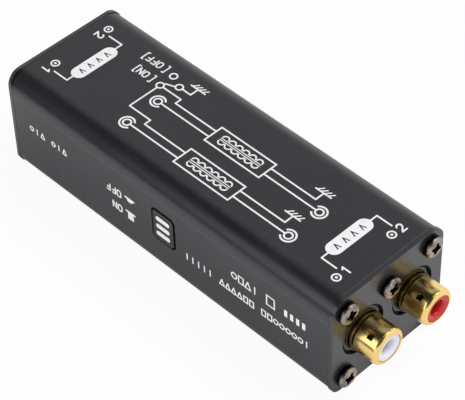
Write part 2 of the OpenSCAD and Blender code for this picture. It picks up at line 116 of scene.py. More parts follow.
class IsolatorColours(bpy.types.PropertyGroup):
    case: ColourProperty(name="Case", description="Black anodising of the tube",
                         default=(0.012, 0.012, 0.014))
    plate: ColourProperty(name="End plate", description="Black anodising of the end plates",
                          default=(0.014, 0.014, 0.016))
    gold: ColourProperty(name="Gold", description="Gold plating of the barrels", default=(0.93, 0.68, 0.25))
    nickel: ColourProperty(name="Nickel", description="Dark nickel plating of the screws",
                           default=(0.31, 0.265, 0.24))
    red: ColourProperty(name="Red insert", description="Red plastic of the right channel",
                        default=(0.54, 0.012, 0.016))
    white: ColourProperty(name="White insert", description="White plastic of the left channel",
                          default=(0.8, 0.8, 0.88))
    ink: ColourProperty(name="Print", description="White ink of the print", default=(0.86, 0.86, 0.88))
    side_ink: ColourProperty(name="Side print", description="Thicker ink of the side and the button",
                             default=(0.97, 0.97, 0.98))
    floor: ColourProperty(name="Floor", description="Pale floor", default=(0.9, 0.9, 0.9))


# ---------------------------------------------------------------- shader groups

def node(tree, kind, links=None, **values):
    """Adds a node, sets its properties and plain inputs, and links the given inputs."""
    made = tree.nodes.new(kind)
    for key, value in values.items():
        if hasattr(made, key):
            setattr(made, key, value)
        else:
            made.inputs[key.replace("_", " ")].default_value = value
    for key, source in (links or {}).items():
        tree.links.new(source, made.inputs[key])
    return made


def add_inputs(tree, defaults):
    """Gives a tree an input for each default: whole number, number, vector of three or colour of four."""
    for name, default in defaults.items():
        if isinstance(default, tuple):
            kind = "NodeSocketColor" if len(default) == 4 else "NodeSocketVector"
        else:
            kind = "NodeSocketInt" if isinstance(default, int) else "NodeSocketFloat"
        tree.interface.new_socket(name, in_out="INPUT", socket_type=kind).default_value = default


def shader_group(name, outputs, inputs):
    """A new shader group; returns its tree, what it is given and the sockets that it puts out."""
    tree = bpy.data.node_groups.new(name, "ShaderNodeTree")
    add_inputs(tree, inputs)
    for socket in outputs:
        kind = "NodeSocketColor" if socket == "Colour" else "NodeSocketFloat"
        tree.interface.new_socket(socket, in_out="OUTPUT", socket_type=kind)
    return tree, tree.nodes.new("NodeGroupInput").outputs, tree.nodes.new("NodeGroupOutput").inputs


def maths(tree, operation, a, b=0.0, clamp=False):
    """A maths node on two sockets or numbers."""
    made = tree.nodes.new("ShaderNodeMath")
    made.operation, made.use_clamp = operation, clamp
    for i, value in enumerate((a, b)):
        if isinstance(value, (int, float)):
            made.inputs[i].default_value = value
        else:
            tree.links.new(value, made.inputs[i])
    return made.outputs[0]


def mixed(tree, mask, low, high):
    """The colour between two, by a mask; each of the two is a socket or a colour."""
    made = node(tree, "ShaderNodeMix", {"Factor": mask}, data_type="RGBA")
    for index, colour in ((MIX_LOW, low), (MIX_HIGH, high)):
        if isinstance(colour, tuple):
            made.inputs[index].default_value = colour
        else:
            tree.links.new(colour, made.inputs[index])
    return made.outputs[MIX_RESULT]


def object_coordinates(tree):
    """The place in the piece's own frame, which is the object's frame."""
    return tree.nodes.new("ShaderNodeTexCoord").outputs["Object"]


def reach_along_x(tree):
    """Distance from the middle along X, the same towards both ends."""
    split = node(tree, "ShaderNodeSeparateXYZ", {0: object_coordinates(tree)})
    return maths(tree, "ABSOLUTE", split.outputs[0])


def mottle_group():
    """Colour and roughness that drift over the surface, with a fine grain for the bump."""
    tree, given, out = shader_group(
        "surface_mottle", ("Colour", "Roughness", "Grain"),
        {"Colour": (0.5, 0.5, 0.5, 1), "Colour drift": 0.15, "Roughness": 0.4, "Roughness drift": 0.08,
         "Patch scale": 90.0, "Grain scale": 2500.0})
    place = object_coordinates(tree)
    patches = node(tree, "ShaderNodeTexNoise", {"Vector": place, "Scale": given["Patch scale"]}, Detail=4.0)
    grain = node(tree, "ShaderNodeTexNoise", {"Vector": place, "Scale": given["Grain scale"]}, Detail=2.0)
    both = maths(tree, "ADD", maths(tree, "MULTIPLY", patches.outputs[0], 0.65),
                 maths(tree, "MULTIPLY", grain.outputs[0], 0.35))
    swing = maths(tree, "MULTIPLY", maths(tree, "SUBTRACT", both, 0.5), 4.0)
    gain = maths(tree, "ADD", maths(tree, "MULTIPLY", swing, given["Colour drift"]), 1.0)
    colour = node(tree, "ShaderNodeVectorMath", {0: given["Colour"], "Scale": gain}, operation="SCALE")
    tree.links.new(colour.outputs[0], out["Colour"])
    drift = maths(tree, "MULTIPLY", swing, given["Roughness drift"])
    tree.links.new(maths(tree, "ADD", given["Roughness"], drift, clamp=True), out["Roughness"])
    tree.links.new(grain.outputs[0], out["Grain"])


def fleck_group():
    """Tiny bright points, as on a bead blasted and anodised surface."""
    tree, given, out = shader_group(
        "fine_flecks", ("Colour",),
        {"Colour": (0, 0, 0, 1), "Fleck colour": (0.2, 0.2, 0.2, 1), "Scale": 2600.0, "Share": 0.1})
    cells = node(tree, "ShaderNodeTexVoronoi", {"Vector": object_coordinates(tree), "Scale": given["Scale"]})
    chance = node(tree, "ShaderNodeSeparateColor", {0: cells.outputs["Color"]})
    chosen = maths(tree, "LESS_THAN", chance.outputs[0], given["Share"])
    mask = maths(tree, "MULTIPLY", chosen, maths(tree, "LESS_THAN", cells.outputs["Distance"], FLECK_RADIUS))
    tree.links.new(mixed(tree, mask, given["Colour"], given["Fleck colour"]), out["Colour"])


def drawn_lines_group():
    """Fine lines along one direction, as left by a die, a lathe or a brush: stretch sets the direction."""
    tree, given, out = shader_group(
        "drawn_lines", ("Height", "Mask"), {"Stretch": (1.0, 1.0, 1.0), "Scale": 800.0})
    along = node(tree, "ShaderNodeVectorMath", {0: object_coordinates(tree), 1: given["Stretch"]},
                 operation="MULTIPLY")
    lines = node(tree, "ShaderNodeTexNoise", {"Vector": along.outputs[0], "Scale": given["Scale"]},
                 Detail=3.0)
    strong = maths(tree, "MULTIPLY", maths(tree, "SUBTRACT", lines.outputs[0], 0.52), 6.0, clamp=True)
    tree.links.new(lines.outputs[0], out["Height"])
    tree.links.new(strong, out["Mask"])


def worn_edges_and_highlight_group():
    """Lightens the convex edges, broken up by noise: wear, and a painted highlight with it; it suits pieces
    of small faces only.
    """
    tree, given, out = shader_group(
        "edge_wear", ("Colour",), {"Colour": (0, 0, 0, 1), "Worn colour": (0.3, 0.3, 0.3, 1), "Amount": 0.5})
    point = tree.nodes.new("ShaderNodeNewGeometry").outputs["Pointiness"]
    noise = node(tree, "ShaderNodeTexNoise", {"Vector": object_coordinates(tree)}, Scale=700.0, Detail=3.0)
    edge = maths(tree, "MULTIPLY", maths(tree, "SUBTRACT", point, 0.54), 9.0, clamp=True)
    broken = maths(tree, "MULTIPLY", edge, maths(tree, "MULTIPLY", noise.outputs[0], 1.6, clamp=True))
    mask = maths(tree, "MULTIPLY", broken, given["Amount"], clamp=True)
    tree.links.new(mixed(tree, mask, given["Colour"], given["Worn colour"]), out["Colour"])


def highlight_line_group():
    """A faint lighter line along both flanks at one height: a painted highlight."""
    tree, given, out = shader_group(
        "die_line", ("Colour",),
        {"Colour": (0, 0, 0, 1), "Line colour": (0.04, 0.04, 0.04, 1), "Height": 0.02, "Width": 0.0005})
    place = object_coordinates(tree)
    split = node(tree, "ShaderNodeSeparateXYZ", {0: place})
    off = maths(tree, "ABSOLUTE", maths(tree, "SUBTRACT", split.outputs[2], given["Height"]))
    line = maths(tree, "SUBTRACT", 1.0, maths(tree, "DIVIDE", off, given["Width"]), clamp=True)
    noise = node(tree, "ShaderNodeTexNoise", {"Vector": place}, Scale=180.0, Detail=2.0)
    uneven = maths(tree, "ADD", 0.6, maths(tree, "MULTIPLY", noise.outputs[0], 0.6))
    mask = maths(tree, "MULTIPLY", line, uneven, clamp=True)
    tree.links.new(mixed(tree, mask, given["Colour"], given["Line colour"]), out["Colour"])


def dark_seam_group():
    """A dark band at a given reach along X, at either end: the case's dark joint, painted shade in the
    barrels' groove and a painted dark reflection on their flange.
    """
    tree, given, out = shader_group(
        "dark_seam", ("Colour",),
        {"Colour": (0.9, 0.7, 0.3, 1), "Seam colour": (0.03, 0.02, 0.01, 1), "Reach": 0.0,
         "Half width": 0.0002})
    off = maths(tree, "ABSOLUTE", maths(tree, "SUBTRACT", reach_along_x(tree), given["Reach"]))
    inside = maths(tree, "SUBTRACT", 1.0, maths(tree, "DIVIDE", off, given["Half width"]))
    mask = maths(tree, "MULTIPLY", inside, 4.0, clamp=True)
    tree.links.new(mixed(tree, mask, given["Colour"], given["Seam colour"]), out["Colour"])


def shade_and_highlight_by_reach_group():
    """Keeps a dark colour below a given reach along X, at either end, and the given colour above it:
    painted shade on the screw heads' sides, and a paler colour as a painted highlight on the end plates'
    rims.
    """
    tree, given, out = shader_group(
        "rubbed_face", ("Colour",),
        {"Colour": (0.4, 0.4, 0.4, 1), "Dark colour": (0.02, 0.02, 0.02, 1), "From": 0.0, "To": 1.0})
    way = maths(tree, "SUBTRACT", given["To"], given["From"])
    mask = maths(tree, "DIVIDE", maths(tree, "SUBTRACT", reach_along_x(tree), given["From"]), way, clamp=True)
    tree.links.new(mixed(tree, mask, given["Dark colour"], given["Colour"]), out["Colour"])


def placed(tree, group_name, links=None, **values):
    """Puts a shared group into a material and sets its inputs."""
    made = tree.nodes.new("ShaderNodeGroup")
    made.node_tree = bpy.data.node_groups[group_name]
    for key, value in values.items():
        made.inputs[key.replace("_", " ")].default_value = value
    for key, source in (links or {}).items():
        tree.links.new(source, made.inputs[key])
    return made.outputs


def new_material(name, **settings):
    """A material with a Principled BSDF; returns the material, its tree and the shader's inputs."""
    material = bpy.data.materials.new(name)
    material.use_nodes = True
    tree = material.node_tree
    shader = tree.nodes["Principled BSDF"]
    for key, value in settings.items():
        shader.inputs[key.replace("_", " ")].default_value = value
    material.diffuse_color = (*settings.get("Base_Color", (0.5, 0.5, 0.5, 1))[:3], 1)
    return material, tree, shader.inputs


def mottled_material(name, colour, roughness, drift, patch, grain, **settings):
    """A material with the mottle in its colour and roughness; drift says how much of each. Returns the
    material, its tree, the shader's inputs and the mottle's outputs."""
    rgba = (*colour, 1)
    material, tree, inputs = new_material(name, Base_Color=rgba, Roughness=roughness, **settings)
    mottle = placed(tree, "surface_mottle", Colour=rgba, Colour_drift=drift[0], Roughness=roughness,
                    Roughness_drift=drift[1], Patch_scale=patch, Grain_scale=grain)
    tree.links.new(mottle["Colour"], inputs["Base Color"])
    tree.links.new(mottle["Roughness"], inputs["Roughness"])
    return material, tree, inputs, mottle


def roughened(tree, inputs, mottle, lines, amount):
    """Adds the mask of drawn lines to the mottled roughness."""
    more = maths(tree, "MULTIPLY", lines["Mask"], amount)
    tree.links.new(maths(tree, "ADD", mottle["Roughness"], more, clamp=True), inputs["Roughness"])


def bump(tree, inputs, height, distance, base=None):
    """A bump in mm on the shader's normal, over another bump where base is given."""
    made = node(tree, "ShaderNodeBump", {"Height": height}, Strength=1.0, Distance=distance * MM)
    if base:
        tree.links.new(base, made.inputs["Normal"])
    tree.links.new(made.outputs[0], inputs["Normal"])
    return made.outputs[0]


def painted_recess_shade(tree, colour, dark):
    """Darkens the faces that carry the recess attribute: painted shade."""
    recess = node(tree, "ShaderNodeAttribute", attribute_name="recess")
    return mixed(tree, recess.outputs["Fac"], colour, (*dark, 1))


def plain_finish(name, colour, roughness, drift, grain, depth, patch=120.0, dark=None, **settings):
    """A moulded, printed or plated surface: mottled, with fine grain in the bump, depth in mm, and a dark
    colour of painted shade for its recesses where it has them."""
    material, tree, inputs, mottle = mottled_material(name, colour, roughness, drift, patch, grain,
                                                      **settings)
    if dark:
        tree.links.new(painted_recess_shade(tree, mottle["Colour"], dark), inputs["Base Color"])
    bump(tree, inputs, mottle["Grain"], depth)
    return material


def anodised(name, colour, roughness, fleck_share, line_depth, grain_depth, rim=None):
    """Black anodised aluminium: fine blasted grain, drawn lines along X, flecks, and a dark joint between
    tube and plates. A plate's paler rim and the tube's lighter line along the flanks are painted highlights."""
    material, tree, inputs, mottle = mottled_material(
        name, colour, roughness, (0.25, 0.07), 60.0, 3800.0, IOR=1.5, Specular_IOR_Level=0.78,
        Specular_Tint=(0.93, 0.91, 1.0, 1))
    flecks = placed(tree, "fine_flecks", {"Colour": mottle["Colour"]}, Fleck_colour=(0.07, 0.07, 0.075, 1),
                    Scale=5200.0, Share=fleck_share)
    if rim:
        # a plate's rim in a paler colour of its own: a painted highlight
        marked = placed(tree, "rubbed_face", {"Colour": flecks["Colour"]}, Dark_colour=(*rim, 1),
                        From=PLATE_X - 0.1 * MM, To=PLATE_X - 0.04 * MM)
    else:
        # a lighter line along the flanks: a painted highlight
        marked = placed(tree, "die_line", {"Colour": flecks["Colour"]}, Line_colour=(0.035, 0.034, 0.038, 1),
                        Height=HIGHLIGHT_LINE_Z, Width=0.55 * MM)
    joint = placed(tree, "dark_seam", {"Colour": marked["Colour"]}, Seam_colour=(0.0015, 0.0015, 0.002, 1),
                   Reach=CASE_HIGH[0], Half_width=0.13 * MM)
    tree.links.new(joint["Colour"], inputs["Base Color"])
    lines = placed(tree, "drawn_lines", Stretch=(0.02, 1.0, 1.0), Scale=2200.0)
    roughened(tree, inputs, mottle, lines, 0.03)
    grain = bump(tree, inputs, mottle["Grain"], grain_depth)
    bump(tree, inputs, lines["Height"], line_depth, base=grain)
    return material


def gold_plating(name, colour):
    """Polished gold over turned brass: faint rings from the lathe, soft smears, painted shade in the groove
    and the window, and a painted dark reflection on the flange.
    """
    material, tree, inputs, mottle = mottled_material(name, colour, 0.21, (0.08, 0.08), 260.0, 2400.0,
                                                      Metallic=1.0)
    # painted shade in the groove, and a painted dark reflection on the flange
    groove = placed(tree, "dark_seam", {"Colour": mottle["Colour"]}, Seam_colour=(0.035, 0.022, 0.008, 1),
                    Reach=GROOVE_X, Half_width=0.24 * MM)
    flange = placed(tree, "dark_seam", {"Colour": groove["Colour"]}, Seam_colour=(0.2, 0.135, 0.045, 1),
                    Reach=FLANGE_X, Half_width=0.5 * MM)
    tree.links.new(painted_recess_shade(tree, flange["Colour"], (0.02, 0.014, 0.006)), inputs["Base Color"])
    rings = placed(tree, "drawn_lines", Stretch=(1.0, 0.05, 0.05), Scale=5200.0)
    roughened(tree, inputs, mottle, rings, 0.05)
    bump(tree, inputs, rings["Height"], 0.0008)
    return material


def nickel_plating(name, colour):
    """Black nickel over formed steel: painted shade on the head's sides and in the cross recess, the face in
    the nickel's colour, and the rim bright with wear and a painted highlight.
    """
    material, tree, inputs, mottle = mottled_material(name, colour, 0.28, (0.9, 0.14), 620.0, 3200.0,
                                                      Metallic=1.0)
    # bright convex edges: wear with a painted highlight
    worn = placed(tree, "edge_wear", {"Colour": mottle["Colour"]}, Worn_colour=(0.62, 0.57, 0.52, 1),
                  Amount=0.9)
    # the head's sides, up to half to seven tenths of its height: painted shade
    face = placed(tree, "rubbed_face", {"Colour": worn["Colour"]}, Dark_colour=(0.014, 0.013, 0.013, 1),
                  From=PLATE_X + 0.5 * HEAD_HEIGHT, To=PLATE_X + 0.7 * HEAD_HEIGHT)
    tree.links.new(painted_recess_shade(tree, face["Colour"], (0.008, 0.007, 0.006)), inputs["Base Color"])
    bump(tree, inputs, mottle["Grain"], 0.012)
    return material


def laminated_steel(name):
    """Cut edges of stacked steel plates: an uneven grey with drawn lines."""
    material, tree, inputs, _ = mottled_material(name, (0.3, 0.29, 0.29), 0.42, (0.4, 0.12), 350.0, 2600.0,
                                                 Metallic=0.9)
    brushed = placed(tree, "drawn_lines", Stretch=(0.03, 1.0, 1.0), Scale=3200.0)
    bump(tree, inputs, brushed["Height"], 0.01)
    return material


def board_laminate(name):
    """Green solder mask over glass fibre: a faint weave, and copper tracks as raised lighter lanes."""
    material, tree, inputs, mottle = mottled_material(
        name, (0.012, 0.1, 0.045), 0.28, (0.2, 0.08), 200.0, 2400.0, Coat_Weight=0.3, Coat_Roughness=0.12)
    place = object_coordinates(tree)
    weave = node(tree, "ShaderNodeTexChecker", {"Vector": place}, Scale=1600.0)
    lanes = node(tree, "ShaderNodeTexBrick", {"Vector": place}, Scale=150.0, Mortar_Size=0.06, Bias=0.0,
                 Brick_Width=1.4, Row_Height=0.35).outputs["Fac"]
    lane_share = maths(tree, "MULTIPLY", lanes, 0.55)
    tree.links.new(mixed(tree, lane_share, mottle["Colour"], (0.05, 0.24, 0.09, 1)), inputs["Base Color"])
    fibres = bump(tree, inputs, weave.outputs["Fac"], 0.006)
    bump(tree, inputs, lanes, 0.03, base=fibres)
    return material


def make_materials():
    """Builds the shader groups and the material of every finish."""
    colours = bpy.context.scene.isolator_colours
    for make in (mottle_group, fleck_group, drawn_lines_group, worn_edges_and_highlight_group, highlight_line_group,
                 dark_seam_group, shade_and_highlight_by_reach_group):
        make()
    finishes = {
        "case_black": anodised("case_anodising", colours.case, 0.36, 0.03, 0.006, 0.012),
        # the plates' rim colours are painted highlights, faint on the near plate and plainer on the far one
        "plate_black": anodised("plate_anodising", colours.plate, 0.27, 0.012, 0.001, 0.002,
                                rim=(0.016, 0.016, 0.018)),
        "plate_pale_rim": anodised("far_plate_anodising", colours.plate, 0.27, 0.012, 0.001, 0.002,
                                   rim=(0.04, 0.038, 0.043)),
        "gold": gold_plating("gold_plating", colours.gold),
        "contact_metal": gold_plating("contact_plating", colours.gold),
        "screw_nickel": nickel_plating("dark_nickel", colours.nickel),
        "core_steel": laminated_steel("core_steel"),
        "board_laminate": board_laminate("green_laminate"),
    }
    # finish, material, colour, roughness, drift of colour and roughness, grain, its depth in mm, the rest
    for finish, *surface, rest in (
            ("insert_red", "red_moulding", colours.red, 0.3, (0.06, 0.05), 2200.0, 0.004,
             {"Specular_IOR_Level": 0.45}),
            ("insert_white", "white_moulding", colours.white, 0.22, (0.03, 0.05), 2200.0, 0.006,
             {"Coat_Weight": 0.2, "Coat_Roughness": 0.08}),
            ("block_plastic", "block_moulding", (0.022, 0.022, 0.024), 0.34, (0.3, 0.1), 2600.0, 0.012, {}),
            ("switch_plastic", "switch_moulding", (0.02, 0.02, 0.023), 0.45, (0.3, 0.1), 2600.0, 0.012, {}),
            ("bobbin_plastic", "bobbin_moulding", (0.02, 0.019, 0.018), 0.4, (0.3, 0.1), 2600.0, 0.012, {}),
            # the button's recess colour is painted shade on the step behind its face
            ("button_plastic", "button_moulding", (0.06, 0.059, 0.065), 0.5, (0.2, 0.08), 3000.0, 0.006,
             {"dark": (0.001, 0.001, 0.001), "Specular_IOR_Level": 0.1}),
            ("winding_wire", "winding_tape", (0.72, 0.42, 0.05), 0.3, (0.25, 0.1), 1500.0, 0.01,
             {"Coat_Weight": 0.3, "Coat_Roughness": 0.15}),
            ("pin_metal", "tinned_pins", (0.66, 0.66, 0.68), 0.28, (0.2, 0.12), 2500.0, 0.01,
             {"Metallic": 1.0}),
            ("ink_white", "white_ink", colours.ink, 0.5, (0.1, 0.08), 5200.0, 0.01, {"patch": 700.0}),
            ("side_ink", "side_ink", colours.side_ink, 0.5, (0.06, 0.08), 5200.0, 0.01, {"patch": 700.0})):
        finishes[finish] = plain_finish(*surface, **rest)
    return finishes


FINISHES = {}                                   # finish: material, filled by the first operator


def dress_node(name, finish):
    """Gives a carried-over CAD node its material."""
    mesh = NODES[name].data
    mesh.materials.clear()
    mesh.materials.append(FINISHES[finish])


# ---------------------------------------------------------------- mesh helpers

def new_object(name, data):
    """An object of its own in the scene."""
    made = bpy.data.objects.new(name, data)
    bpy.context.scene.collection.objects.link(made)
    return made


def keep_flats_flat(mesh):
    """Marks the border of every face that looks straight along an axis, so that smoothing doesn't bend it."""
    straight = [max(abs(c) for c in face.normal) > 0.99999 for face in mesh.polygons]
    seen = {}
    for face in mesh.polygons:
        for key in face.edge_keys:
            seen.setdefault(key, set()).add(straight[face.index])
    for edge in mesh.edges:
        if len(seen.get(edge.key, ())) == 2:
            edge.use_edge_sharp = True


def finished_piece(name, mesh, finish, body, replaced, smooth=None):
    """Makes the object of a finished mesh, smooths it and ties it to the frame. A turned piece is smoothed up
    to the angle smooth, in degrees; any other keeps its flat faces flat."""
    mesh.name = name
    mesh.materials.clear()
    mesh.materials.append(FINISHES[finish])
    mesh.polygons.foreach_set("material_index", [0] * len(mesh.polygons))
    mesh.polygons.foreach_set("use_smooth", [True] * len(mesh.polygons))
    mesh.set_sharp_from_angle(angle=math.radians(smooth or FLAT_SMOOTH))
    if smooth is None:
        keep_flats_flat(mesh)
    made = new_object(name, mesh)
    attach(made, body)
    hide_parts(*replaced)


def mesh_from(bm, name="work"):
    """The mesh of a BMesh, which is freed."""
    mesh = bpy.data.meshes.new(name)
    bm.to_mesh(mesh)
    bm.free()
    return mesh


def evaluated_mesh(holder):
    """The plain mesh that an object's modifiers give."""
    bpy.context.view_layer.update()
    graph = bpy.context.evaluated_depsgraph_get()
    return bpy.data.meshes.new_from_object(holder.evaluated_get(graph))


def welded_copy(name):
    """A welded copy of a CAD node's mesh with its flat areas joined."""
    bm = bmesh.new()
    bm.from_mesh(NODES[name].data)
    bmesh.ops.remove_doubles(bm, verts=bm.verts, dist=HAIR / 2)
    bmesh.ops.dissolve_limit(bm, angle_limit=math.radians(0.4), verts=bm.verts, edges=bm.edges)
    return bm


def all_near(points, axis, place):
    """Whether all points lie in the plane at a place along an axis."""
    return all(abs(point.co[axis] - place) < HAIR for point in points)


def round_edges(bm, width, chosen, least=30.0, segments=2):
    """Rounds the sharp edges that chosen(middle, edge) picks, and says how many there were."""
    edges = [e for e in bm.edges if len(e.link_faces) == 2 and e.calc_face_angle(0) > math.radians(least)
             and chosen((e.verts[0].co + e.verts[1].co) / 2, e)]
    bmesh.ops.bevel(bm, geom=edges, offset=width, offset_type="OFFSET", segments=segments, profile=0.6,
                    affect="EDGES", clamp_overlap=True)
    return len(edges)


def lathe_x(profile, steps=64, closed=True):
    """Turns a profile of (x, radius) points round the X axis; the ends on the axis are closed."""
    bm = bmesh.new()
    rings = []
    for x, r in profile:
        if r < 1e-9:
            rings.append([bm.verts.new((x, 0, 0))])
        else:
            rings.append([bm.verts.new((x, r * math.cos(a), r * math.sin(a)))
                          for a in (2 * math.pi * k / steps for k in range(steps))])
    pairs = list(zip(rings, rings[1:])) + ([(rings[-1], rings[0])] if closed else [])
    for a, b in pairs:
        for k in range(steps):
            n = (k + 1) % steps
            corners = [a[k % len(a)], a[n % len(a)], b[n % len(b)], b[k % len(b)]]
            unique = list(dict.fromkeys(corners))
            if len(unique) > 2:
                bm.faces.new(unique)
    bmesh.ops.recalc_face_normals(bm, faces=bm.faces)
    return bm


def in_mm(points):
    """A profile that is written in mm, in metres."""
    return [(x * MM, r * MM) for x, r in points]


def hull(points):
    """The convex hull of points, as a mesh."""
    bm = bmesh.new()
    bmesh.ops.convex_hull(bm, input=[bm.verts.new(point) for point in points])
    bmesh.ops.delete(bm, geom=[v for v in bm.verts if not v.link_faces], context="VERTS")
    bmesh.ops.recalc_face_normals(bm, faces=bm.faces)
    return mesh_from(bm)


def cut_away(mesh, cutters):
    """Takes the cutters' shapes out of a mesh, exactly."""
    body = new_object("cutting", mesh)
    tools = [new_object("tool", cutter) for cutter in cutters]
    for tool in tools:
        cut = body.modifiers.new("cut", "BOOLEAN")
        cut.operation, cut.solver, cut.object = "DIFFERENCE", "EXACT", tool
    result = evaluated_mesh(body)
    for done in (body, *tools):
        bpy.data.objects.remove(done)
    return result


def mark_recess(mesh, inside):
    """Marks the faces whose middle lies inside a recess, for the finish to paint shade on them."""
    recess = mesh.attributes.new("recess", "FLOAT", "FACE")
    for face in mesh.polygons:
        recess.data[face.index].value = float(inside(*face.center))


def joined(meshes):
    """One mesh of several."""
    bm = bmesh.new()
    for mesh in meshes:
        bm.from_mesh(mesh)
    return mesh_from(bm)


# ---------------------------------------------------------------- geometry nodes

def geometry_tree(name, inputs):
    """A new tree that takes a mesh and a material and gives a mesh; returns it and what it is given."""
    tree = bpy.data.node_groups.new(name, "GeometryNodeTree")
    tree.interface.new_socket("Geometry", in_out="INPUT", socket_type="NodeSocketGeometry")
    add_inputs(tree, inputs)
    tree.interface.new_socket("Material", in_out="INPUT", socket_type="NodeSocketMaterial")
    tree.interface.new_socket("Geometry", in_out="OUTPUT", socket_type="NodeSocketGeometry")
    return tree, tree.nodes.new("NodeGroupInput").outputs


def end_tree(tree, given, geometry):
    """Ends a tree: makes its instances real and gives them their material."""
    real = node(tree, "GeometryNodeRealizeInstances", {"Geometry": geometry})
    paint = node(tree, "GeometryNodeSetMaterial", {"Geometry": real.outputs[0],
                                                   "Material": given["Material"]})
    tree.links.new(paint.outputs[0], tree.nodes.new("NodeGroupOutput").inputs[0])


def both_ends_tree():
    """Sets a part, made at the plate's plane with its axis along X, on a grid of places at both ends."""
    tree, given = geometry_tree("set_at_both_ends", {
        "Columns": 2, "Rows": 1, "Across": 0.01, "Rise": 0.0, "Reach": 0.05, "Side": 0.0, "Height": 0.01,
        "Turn": 0.0, "Seed": 5})
    grid = node(tree, "GeometryNodeMeshGrid", {"Size X": given["Across"], "Size Y": given["Rise"],
                                               "Vertices X": given["Columns"], "Vertices Y": given["Rows"]})
    # the grid lies in XY: its X goes to Y and its Y to Z
    upright = node(tree, "GeometryNodeTransform", {"Geometry": grid.outputs[0]},
                   Rotation=Euler((math.pi / 2, 0, math.pi / 2)))
    place = node(tree, "ShaderNodeCombineXYZ", {0: given["Reach"], 1: given["Side"], 2: given["Height"]})
    join = tree.nodes.new("GeometryNodeJoinGeometry")
    for seed_step, end_turn in ((0.0, 0.0), (11.0, math.pi)):
        where = node(tree, "GeometryNodeTransform", {"Geometry": upright.outputs[0],
                                                     "Translation": place.outputs[0]})
        most = node(tree, "ShaderNodeCombineXYZ", {0: given["Turn"]})
        random = node(tree, "FunctionNodeRandomValue", {1: most.outputs[0]}, data_type="FLOAT_VECTOR")
        tree.links.new(maths(tree, "ADD", given["Seed"], seed_step), random.inputs["Seed"])
        parts = node(tree, "GeometryNodeInstanceOnPoints", {
            "Points": where.outputs[0], "Instance": given["Geometry"], "Rotation": random.outputs[0]})
        turned = node(tree, "GeometryNodeTransform", {"Geometry": parts.outputs[0]},
                      Rotation=Euler((0, 0, end_turn)))
        tree.links.new(turned.outputs[0], join.inputs[0])
    end_tree(tree, given, join.outputs[0])


def row_tree():
    """Repeats a part in a row: so many, so far apart, from a start point along a step."""
    tree, given = geometry_tree("repeat_in_a_row", {
        "Count": 3, "Start": (0.0, 0.0, 0.0), "Step": (0.0, 0.0, MM)})
    line = node(tree, "GeometryNodeMeshLine", {"Count": given["Count"], "Start Location": given["Start"],
                                               "Offset": given["Step"]})
    parts = node(tree, "GeometryNodeInstanceOnPoints", {"Points": line.outputs[0],
                                                        "Instance": given["Geometry"]})
    end_tree(tree, given, parts.outputs[0])


def through_tree(mesh, tree_name, finish, **inputs):
    """Runs a mesh through a geometry node tree and returns the plain result."""
    tree = bpy.data.node_groups[tree_name]
    holder = new_object("holder", mesh)
    modifier = holder.modifiers.new("repeat", "NODES")
    modifier.node_group = tree
    ids = {item.name: item.identifier for item in tree.interface.items_tree if item.in_out == "INPUT"}
    for key, value in {**inputs, "Material": FINISHES[finish]}.items():
        modifier[ids[key]] = value
    result = evaluated_mesh(holder)
    holder.modifiers.clear()
    bpy.data.objects.remove(holder)
    if not result.polygons:
        raise RuntimeError(f"{tree_name} made no faces")
    return result


# ---------------------------------------------------------------- pieces

class ISOLATOR_OT_finishes(bpy.types.Operator):
    """Builds the shared shader groups, the materials and the geometry node trees"""
    bl_idname = "isolator.finishes"
    bl_label = "Finishes"

    def execute(self, context):
        FINISHES.update(make_materials())
        both_ends_tree()
        row_tree()
        return {"FINISHED"}


class ISOLATOR_OT_case(bpy.types.Operator):
    """Extruded tube with rounded cut edges and a rounded window for the button"""
    bl_idname = "isolator.case"
    bl_label = "Case"

    def execute(self, context):
        bm = welded_copy("housing")
        end, side = CASE_HIGH[0], CASE_LOW[1]
        centre_z = middle((CASE_LOW, CASE_HIGH), 2)
        wall, window_reach, window_margin = 1.35 * MM, 8 * MM, 6 * MM

        def outside(point, edge):
            """Whether an edge runs round the outside of the tube's ends or round the button's window."""
            if abs(abs(point.x) - end) < HAIR and all(abs(abs(v.co.x) - end) < HAIR for v in edge.verts):
                long_face = min(edge.link_faces, key=lambda f: abs(f.normal.x))
                away = Vector((0, point.y, point.z - centre_z))
                deep = min(abs(abs(point.y) - CASE_HIGH[1]), abs(point.z - CASE_LOW[2]),
                           abs(point.z - CASE_HIGH[2]))
                return long_face.normal.dot(away) > 0 and deep < wall
            return (all_near(edge.verts, 1, side) and abs(point.x) < window_reach
                    and CASE_LOW[2] + window_margin < point.z < CASE_HIGH[2] - window_margin)

        if not round_edges(bm, context.scene.isolator_sizes.case_edge, outside):
            raise RuntimeError("no edges of the case were found to round")
        finished_piece("case_tube", mesh_from(bm), "case_black", "case", ["housing"])
        return {"FINISHED"}


class ISOLATOR_OT_end_plates(bpy.types.Operator):
    """Flat end plates with rounded edges round the rim and the holes"""
    bl_idname = "isolator.end_plates"
    bl_label = "End plates"

    def execute(self, context):
        for name, outer, finish in (("input_plate", PLATE_X, "plate_black"),
                                    ("output_plate", -PLATE_X, "plate_pale_rim")):
            bm = welded_copy(name)
            round_edges(bm, context.scene.isolator_sizes.plate_edge,
                        lambda point, edge: all_near(edge.verts, 0, outer))
            finished_piece(name + "_panel", mesh_from(bm), finish, "case", [name])
        return {"FINISHED"}


